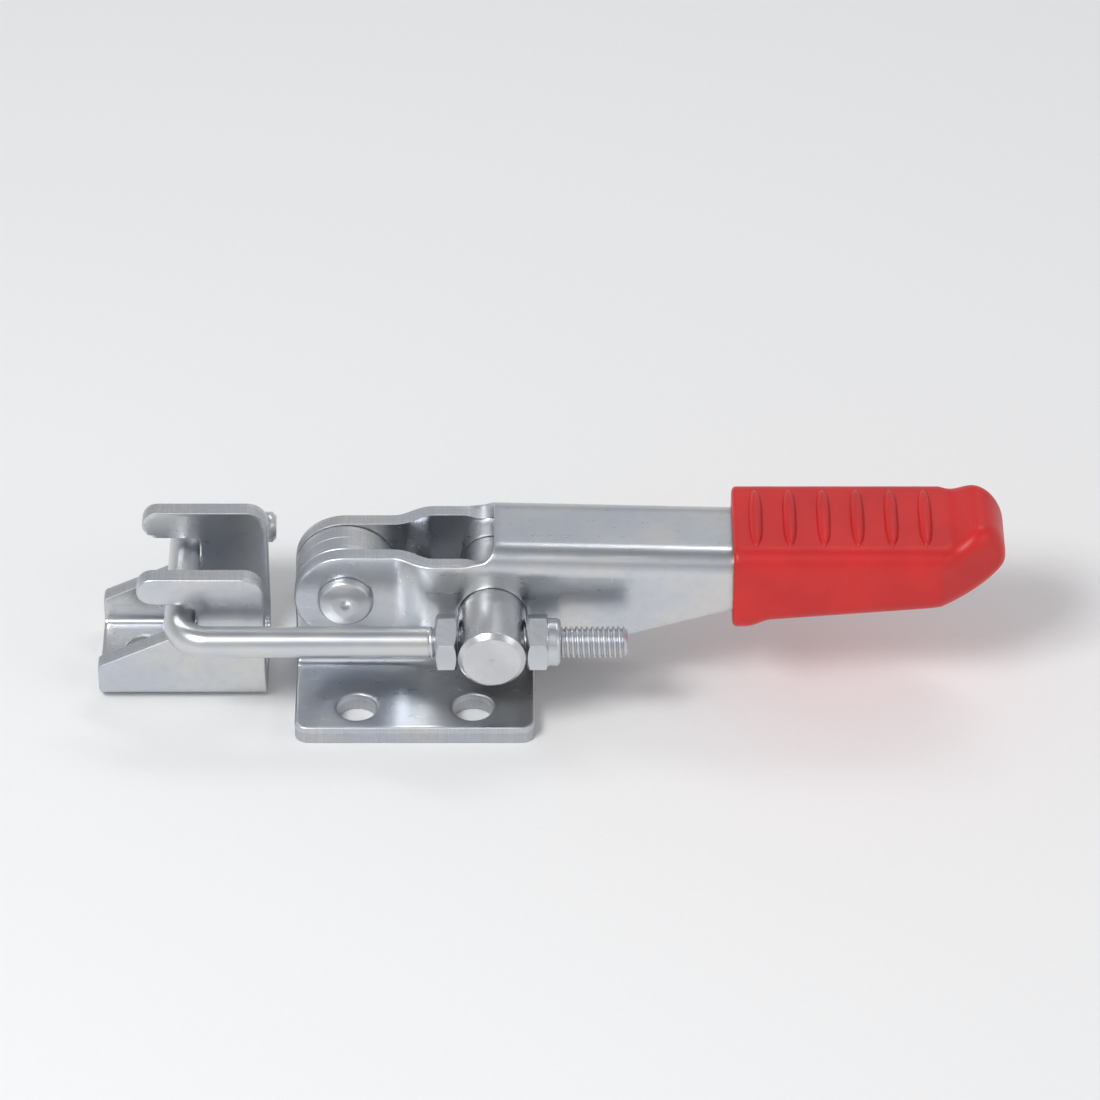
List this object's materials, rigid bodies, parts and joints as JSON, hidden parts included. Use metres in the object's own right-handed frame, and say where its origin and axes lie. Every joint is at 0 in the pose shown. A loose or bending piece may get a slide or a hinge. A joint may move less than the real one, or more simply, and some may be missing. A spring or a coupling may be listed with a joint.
{
  "type": "over centre toggle latch",
  "caption": "Over centre toggle latch: joggled channel lever on an upright base, J hook rod in a threaded trunnion, and a separate hooked catch bracket.",
  "frame": {"origin": "centre of the base plate's four fixing holes, on the mounting face", "axes": "+X along the pull, from the catch towards the handle's tip; +Z stands up from the mounting face; the threaded leg of the hook runs on the -Y side"},
  "size_m": [0.1747, 0.049, 0.0384],
  "materials": {
    "sheet_steel": "pressed sheet, bright zinc plated",
    "turned_steel": "turned, bright zinc plated",
    "drawn_steel": "drawn and bent rod, bright zinc plated",
    "nut_steel": "cold formed, bright zinc plated",
    "spring_steel": "hardened, dark",
    "grip_plastic": "soft moulded sleeve, fine grain",
    "nylon": "plain moulded"
  },
  "bodies": {
    "root": {"base_front_half": "sheet_steel", "base_rear_half": "sheet_steel", "pivot_rivet": "turned_steel", "catch_bracket": "sheet_steel"},
    "lever_arm": {"lever": "sheet_steel", "grip": "grip_plastic"},
    "trunnion_body": {"trunnion": "turned_steel", "retaining_clip": "spring_steel"},
    "hook": {"hook_rod": "drawn_steel"},
    "front_nut": {"inner_nut": "nut_steel"},
    "back_nut": {"lock_nut": "nut_steel", "lock_nut_ring": "nylon"}
  },
  "joints": [
    {"name": "lever_open", "type": "hinge", "parent": "root", "child": "lever_arm", "pos_m": [-0.0133, 0, 0.0214], "axis": [0, -1, 0], "range_deg": [0, 75]},
    {"name": "trunnion_swing", "type": "hinge", "parent": "lever_arm", "child": "trunnion_body", "pos_m": [0.015, 0, 0.0197], "axis": [0, -1, 0], "range_deg": [-43.2, 0]},
    {"name": "hook_slide", "type": "slide", "parent": "trunnion_body", "child": "hook", "axis": [-1, 0, 0], "range_m": [0, 0.0116]},
    {"name": "inner_nut_turn", "type": "hinge", "parent": "trunnion_body", "child": "front_nut", "pos_m": [0.0064, -0.018, 0.0197], "axis": [1, 0, 0], "range_deg": [0, 4176.1]},
    {"name": "lock_nut_turn", "type": "hinge", "parent": "trunnion_body", "child": "back_nut", "pos_m": [0.0237, -0.018, 0.0197], "axis": [1, 0, 0], "range_deg": [0, 4176.1]}
  ],
  "couplings": [
    {"joint": "trunnion_swing", "follows": "lever_open", "ratio": -0.575},
    {"joint": "inner_nut_turn", "follows": "hook_slide", "rad_per_m": 6283.2},
    {"joint": "lock_nut_turn", "follows": "hook_slide", "rad_per_m": 6283.2}
  ]
}
